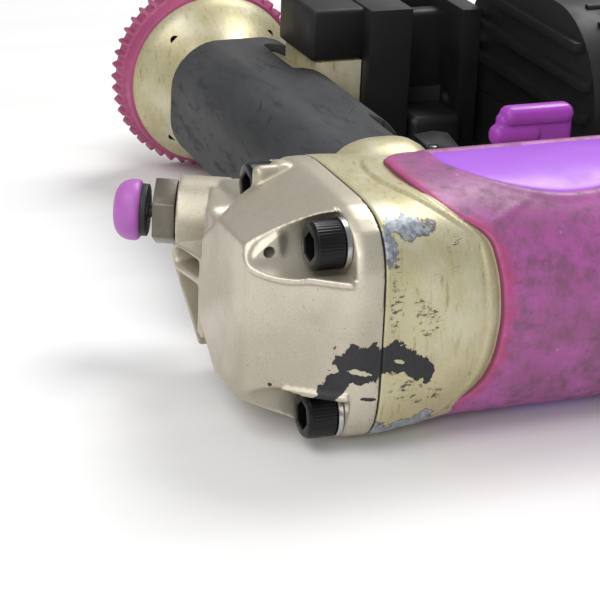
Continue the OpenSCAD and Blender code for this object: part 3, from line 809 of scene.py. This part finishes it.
def panel_edge(x, y):
    """How far a point is outside the inlay's outline, in mm: an ellipse cut off towards the handle."""
    out = (math.hypot((x - 61) / 30, (y - 6) / 26.5) - 1) * 26
    return max(out, y - 14.5)


def protector_crown(angle, x, start, radius, to_end):
    """The protector's outer radius: rolled lip, room for the inlay with its rim, crease, and ends."""
    if x - start < 0.15 * (PROTECTOR_END - start):
        radius += 0.12 * hump(x - start - 1.6, 1.4) - 0.6 * hump(x - start, 0.5)
    beside_panel = 30 < angle < 150 or 210 < angle < 330
    outside = panel_edge(x, radius * math.cos(math.radians(angle))) if beside_panel else 40
    radius -= 0.7 * along(-outside, ((-0.8, 0), (0.4, 1)))
    if angle < 180:
        radius += 0.45 * hump(outside - 1.6, 1.3)
        crease = (angle - 138) * 0.6 + (x - 31) * 0.55
        radius += 0.5 * hump(crease, 1.3) * along(x, ((31, 0), (34, 1), (44, 1), (50, 0)))
    return radius - 1.4 * along(to_end, ((0, 1), (2.5, 0)))


def barrel_protector():
    """The soft cover that wraps the barrel from one side of the handle to the other."""
    angles = [57 + i * 1.45 for i in range(170)]
    steps = 78
    rings = []
    from_lip = []
    for angle in angles:
        start = eased(angle, LIP)
        plain = oval(angle, PROTECTOR_Y, PROTECTOR_Z, PROTECTOR_POWER)
        to_end = min(angle - angles[0], angles[-1] - angle)
        ring = []
        for k in range(steps):
            x = start + (PROTECTOR_END - start) * (k / (steps - 1))
            ring.append(around(x, angle, protector_crown(angle, x, start, plain, to_end)))
            from_lip.append(x - start)
        for x, radius in ((PROTECTOR_END, 31.6), (70, 31.6), (start + 6, 31.4), (start + 0.8, 31.6),
                          (start, 33)):
            ring.append(around(x, angle, radius + (plain - PROTECTOR_Y) * 0.6))
            from_lip.append(0.0)
        rings.append(ring)
    mesh = skin(rings)
    mesh.attributes.new("lip", "FLOAT", "POINT").data.foreach_set("value", from_lip)
    smooth_by_angle(mesh, 60)
    piece("protector", mesh, "barrel_protector", MATERIALS["protector_pink"])


def side_panel(name, node, sign):
    """The smooth inlay, which follows the protector's crown and is rounded over at its edge."""
    middle_x, middle_y = 61, 3
    step = 0.1
    outline = []
    for a in turns_of(96):
        reach = 0.0
        while panel_edge(middle_x + reach * math.cos(a), middle_y + reach * math.sin(a)) < -step:
            reach += step
        outline.append((a, reach))
    rings = []
    for scale, drop in ((0.02, 0), (0.35, 0), (0.6, 0), (0.8, 0), (0.92, 0), (0.975, 0.06), (1, 0.4),
                        (1, 1.2), (0.9, 1.5), (0.02, 1.5)):
        ring = []
        for a, reach in outline:
            x = middle_x + reach * scale * math.cos(a)
            y = middle_y + reach * scale * math.sin(a)
            across = abs(y / PROTECTOR_Y) ** PROTECTOR_POWER
            crown = PROTECTOR_Z * (1 - across) ** (1 / PROTECTOR_POWER)
            ring.append(P(x, y, sign * (crown - 0.3 - drop)))
        rings.append(ring)
    mesh = skin(rings)
    smooth_by_angle(mesh, 50)
    piece(name, mesh, node, MATERIALS["panel_lilac"])


def shoulder():
    """The casting's head end: square at the gasket, then rounder, with a bead before the lip."""
    rings = []
    x = 0.0
    while x <= SHOULDER[-1][0] + 0.01:
        half_y, half_z, power = (along(x, [(row[0], row[k]) for row in SHOULDER]) for k in (1, 2, 3))
        ring = []
        for i in range(240):
            angle = i * 1.5
            radius = oval(angle, half_y, half_z, power)
            if 50 < angle < 310:
                height = along(angle, BEAD_HEIGHT)
                bead = eased(angle, BEAD)
                radius += height * hump(x - bead, 0.75)
                radius -= 0.35 * height * hump(x - bead + 1.4, 0.6)
                radius -= 0.4 * hump(x - eased(angle, LIP) + 0.4, 0.8)
            radius -= 0.2 * hump(x, 0.3)
            ring.append(around(x, angle, radius))
        rings.append(ring)
        x += 0.25 if x < 0.6 else (0.4 if x < 36 else 1.0)
    return skin(rings)


def neck():
    """The hump that carries the shoulder's crest over into the handle."""
    rings = []
    for y, middle_x, half_x, half_z in NECK:
        ring = []
        for i in range(96):
            angle = i * 3.75
            radius = oval(angle, half_x, half_z, 3.0)
            a = math.radians(angle)
            ring.append(P(middle_x + radius * math.cos(a), y, radius * math.sin(a)))
        rings.append(ring)
    return skin(rings)


def housing():
    """The body casting: its head end is made here, and the rest is the CAD's with rounded edges."""
    head_end = joined(shoulder(), neck())
    rest = boolean(cad_mesh("body_housing"), brick((-5, -50, -50), (38, 34, 50)))
    rest = rounded(rest, 0.6, angle=35)
    smooth_by_angle(head_end, 60)
    smooth_by_angle(rest, 40)
    piece("housing_shoulder", head_end, "body_housing", MATERIALS["cast_champagne"])
    piece("housing_rest", rest, "body_housing", MATERIALS["cast_champagne"])


# ---------------------------------------------------------------- bolts, springs and trim

def socket_screw(start, end, radius, socket, teeth):
    """A cap screw's head from start to end: knurled side, chamfered rim and a hexagon socket."""
    axis = (end - start).normalized()
    length = (end - start).length * 1000
    out = spokes(axis)
    sixth = math.pi / 3
    # Distance from the seat, radius, whether the ring is a hexagon, and the knurl's depth
    profile = ((0, 0.2, False, 0), (0, radius - 0.5, False, 0), (0.4, radius, False, 0),
               (0.8, radius, False, 0.17), (length - 1.2, radius, False, 0.17),
               (length - 0.8, radius - 0.05, False, 0), (length - 0.25, radius - 0.5, False, 0),
               (length, radius - 1.0, False, 0), (length, socket + 0.35, True, 0),
               (length - 0.35, socket, True, 0), (length * 0.45, socket, True, 0),
               (length * 0.38, 0.2, False, 0))
    rings = []
    for s, r, six_sided, knurl in profile:
        ring = []
        for a in turns_of(teeth * 4):
            reach = r / math.cos((a + sixth / 2) % sixth - sixth / 2) if six_sided else r
            reach -= knurl * (0.5 - 0.5 * math.cos(a * teeth))
            ring.append(start + axis * (s / 1000) + out(a) * (reach / 1000))
        rings.append(ring)
    return skin(rings)


def split_washer(face, thickness, y, z):
    """A spring washer on its seat: one turn with a gap, which climbs a little towards its free end."""
    steps = 59
    rings = []
    for i in range(steps + 1):
        a = math.radians(15 + 345 * i / steps)
        lift = 0.35 * i / steps
        ring = []
        for r, height in ((4.2, thickness - 0.2), (4.3, thickness), (6.7, thickness),
                          (6.9, thickness - 0.2), (6.9, 0.3), (6.7, 0.1), (4.3, 0.1), (4.2, 0.3)):
            shown = min(height + lift, thickness) if height > 1 else height
            ring.append(P(face - shown, y + r * math.cos(a), z + r * math.sin(a)))
        rings.append(ring)
    return skin(rings)


def head_bolts():
    """Knurled socket screws over split spring washers, at the head's four corners."""
    face = (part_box("head_bolt_washers")[1].x - GASKET_X) * 1000
    thickness = 1.6
    seat = face - thickness
    knurl_teeth = 44
    bolts = []
    washers = []
    for y, z in BOLTS:
        top = P(seat - BOLT_HEAD_LENGTH, y, z)
        bolts.append(socket_screw(P(seat, y, z), top, BOLT_HEAD_RADIUS, BOLT_SOCKET_RADIUS, knurl_teeth))
        bolts.append(rod_x(seat - 0.5, face + 22, y, z, BOLT_RADIUS))
        washers.append(split_washer(face, thickness, y, z))
    for name, node, parts in (("bolts", "head_bolts", bolts), ("washers", "head_bolt_washers", washers)):
        mesh = joined(*parts)
        smooth_by_angle(mesh, 32)
        piece(name, mesh, node)


def end_ring():
    """The bumper ring: a turned band with fine rounded ribs that cross its outside."""
    low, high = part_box("end_bumper_ring")
    centre = (low + high) / 2
    outer = (high.x - low.x) / 2 * 1000
    ribs = 48
    # Distance along the handle, radius, and how far the ribs stand up there
    profile = ((0, 26.9, 0), (0, 30.4, 0), (0.4, 30.9, 0), (5.6, 31.2, 0), (6.2, outer - 1.9, 0.4),
               (7.2, outer - 1.75, 1.0), (12.3, outer - 1.75, 1.0), (13.2, outer - 2.0, 0.7),
               (13.8, outer - 2.8, 0.2), (14, outer - 3.6, 0), (14, 27.6, 0), (13.6, 26.9, 0))
    rings = []
    for s, r, rib in profile:
        ring = []
        for a in turns_of(ribs * 8):
            wave = max(0.0, math.cos(ribs * a)) ** 0.6
            reach = (r + 1.75 * rib * wave) / 1000
            ring.append(V(centre.x + reach * math.cos(a), low.y + s / 1000, centre.z + reach * math.sin(a)))
        rings.append(ring)
    mesh = skin(rings)
    smooth_by_angle(mesh, 45)
    piece("ring", mesh, "end_bumper_ring")


def grip():
    """The rubber sleeve: its cut-outs are the CAD's, with a faint swell and hand-worn hollows."""
    mesh = softened(voxels(cad_mesh("grip_sleeve"), 0.7), 5)
    low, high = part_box("grip_sleeve")
    centre = (low + high) / 2
    inner_wall = 0.0205
    swell, ripple, sunk = 0.00022, 0.00009, 0.00025
    for vertex in mesh.vertices:
        out = V(vertex.co.x - centre.x, 0, vertex.co.z - centre.z)
        if out.length < inner_wall:
            continue
        p = vertex.co * 1000
        wave = noise.noise(V(p.x / 14, p.y / 26, p.z / 14))
        fine = noise.noise(V(p.x / 3.2, p.y / 6.5, p.z / 3.2))
        vertex.co += out.normalized() * (swell * wave + ripple * fine - sunk)
    smooth_by_angle(mesh, 60)
    piece("grip", mesh, "grip_sleeve")


def coil(name, start, axis, length, outer, wire, turns):
    """A compression spring in the room of the CAD's tube.

    start is the middle of its first end, and sizes are in mm.
    Its first and last turns close up and lie flat."""
    out_at = spokes(axis)
    radius = outer - wire / 2
    rings_per_turn = 22
    steps = int(turns * rings_per_turn)
    climb = length - 2.5 * wire
    rings = []
    for i in range(steps + 1):
        turn = turns * i / steps
        if turn < 1:
            at = wire * (0.5 + 0.75 * turn)
        elif turn > turns - 1:
            at = length - wire * (1.25 - 0.75 * (turn - turns + 1))
        else:
            at = wire * 1.25 + climb * (turn - 1) / (turns - 2)
        out = out_at(2 * math.pi * turn)
        middle = start + (axis * at + out * radius) / 1000
        rings.append([middle + (out * math.cos(b) + axis * math.sin(b)) * (wire / 2000)
                      for b in turns_of(10)])
    mesh = skin(rings)
    smooth_by_angle(mesh, 60)
    obj = piece(name + "_coil", mesh, name)
    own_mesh(obj)


def springs():
    x_axis = V(1, 0, 0)
    y_axis = V(0, 1, 0)
    coil("contact_spring", P(139.2, 12, -21), x_axis, 22.6, 4.6, 1.1, 8.5)
    coil("feed_spring", P(140, 37.1, -17.5), y_axis, 16.6, 5.0, 1.2, 4.5)
    coil("head_valve_spring", P(-15.9, 0, 0), x_axis, 10.8, 18.0, 1.4, 4.0)
    coil("trigger_valve_spring", P(40.1, 72, 0), x_axis, 5.8, 4.6, 0.6, 3.6)


def selector_tab():
    """The lever on the trigger's pin: hub, web, and a thumb tab that rises in two steps."""
    pin_x, pin_y = 66, 48
    bore = rod(P(pin_x, pin_y, 10), P(pin_x, pin_y, 30), 2.6)
    hub = boolean(rod(P(pin_x, pin_y, 13.7), P(pin_x, pin_y, 19.2), 5.5), bore)
    web = boolean(pillow((66, 44, 13.7), (90, 50, 19.2), 0.8), bore)
    steps = [pillow((69, 43.6, 17), (93, 48.6, 31), 1.6), pillow((66.8, 42.6, 21.6), (83, 49, 28), 2.6),
             pillow((70, 42.4, 27.2), (93.2, 49.6, 33.4), 2.7)]
    mesh = softened(voxels(joined(hub, web, *steps), 0.35), 3)
    smooth_by_angle(mesh, 60)
    piece("selector_tab", mesh, "selector_lever", MATERIALS["tab_purple"])


def bracket():
    """The bracket's CAD shape with cast corners, its flange over the lug, its web and its tail."""
    flange = pillow((46, 137.9, 22.4), (66, 168, 39.5), 1.5)
    web = pillow((77, 150, 4), (100, 157, 34), 2.0)
    tail = pillow((80, 130, -12), (99, 150, 3), 2.5)
    mesh = joined(rounded(cad_mesh("magazine_bracket"), 1.5), flange, web, tail)
    smooth_by_angle(mesh)
    piece("bracket", mesh, "magazine_bracket")


def magazine_cover():
    """The cover's CAD shell with moulded ribs over its back and a raised panel on its end."""
    middle_y, half_y, top, corner = 104, 46.0, 52.0, 30.0
    rib_start, rib_end, rib_radius = 115, 164, 1.1
    places = []
    for angle in (8, 24, 42, 60, 78, 102, 120, 138, 156, 172):
        a = math.radians(angle)
        corner_y = middle_y + math.copysign(half_y - corner, math.cos(a))
        reach = corner + 0.1
        places.append((corner_y + reach * math.cos(a), top - corner + reach * math.sin(a)))
    places += [(y, top) for y in (92, 104, 116)]
    ribs = [rod_x(rib_start, rib_end, y, z, rib_radius, 16) for y, z in places]
    panel = []
    for x, half, low, high in ((170.0, 30, 14, 38), (170.9, 28.5, 15.5, 36.5)):
        panel += [P(x, middle_y + side * half, z) for side in (-1, 1) for z in (low, high)]
    mesh = joined(rounded(cad_mesh("magazine_cover"), 0.8), *ribs, hull(*panel))
    smooth_by_angle(mesh)
    piece("cover", mesh, "magazine_cover")


def everything_else():
    """The other nodes keep the CAD's shape. Their hard edges are broken, but not a spring's."""
    for node in sorted(LEFT):
        if node.endswith("_spring"):
            NODES[node].data.materials.clear()
            NODES[node].data.materials.append(MATERIALS[SLOT_OF[node]])
            continue
        mesh = rounded(cad_mesh(node), 0.4, segments=2)
        smooth_by_angle(mesh)
        piece(node + "_look", mesh, node)


# ---------------------------------------------------------------- floor and light

def floor_and_light():
    mesh = bpy.data.meshes.new("floor")
    size = 4.0
    mesh.from_pydata([(-size, -size, 0), (size, -size, 0), (size, size, 0), (-size, size, 0)], [],
                     [(0, 1, 2, 3)])
    f = Finish("floor", 0.6)
    streaks = f.span(f.noise(6, 3, stretch=(0.6, 6, 1)), 0.3, 0.7)
    f.set("Base Color", f.mix(streaks, shade(239, 239, 239), shade(236, 235, 234)))
    mesh.materials.append(f.material)
    placed("floor", mesh)
    world = bpy.data.worlds.new("studio")
    world.use_nodes = True
    background = world.node_tree.nodes["Background"]
    background.inputs["Color"].default_value = (0.97, 0.98, 1, 1)
    background.inputs["Strength"].default_value = 0.34
    bpy.context.scene.world = world
    area_light("key", (0.55, 0.4, 1.0), (-0.02, 0, 0.03), (0.6, 0.6), 10.5)
    area_light("top", (-0.6, -0.3, 0.85), (-0.05, 0, 0.03), (0.8, 0.6), 5)
    area_light("front", (-0.55, -1.0, 0.5), (-0.1, 0, 0.03), (0.5, 0.5), 4)


head_cover()
gasket()
housing()
barrel_protector()
side_panel("panel_upper", "side_panel_upper", 1)
side_panel("panel_lower", "side_panel_lower", -1)
knob()
springs()
magazine_cover()
bracket()
selector_tab()
head_bolts()
end_ring()
grip()
everything_else()
floor_and_light()
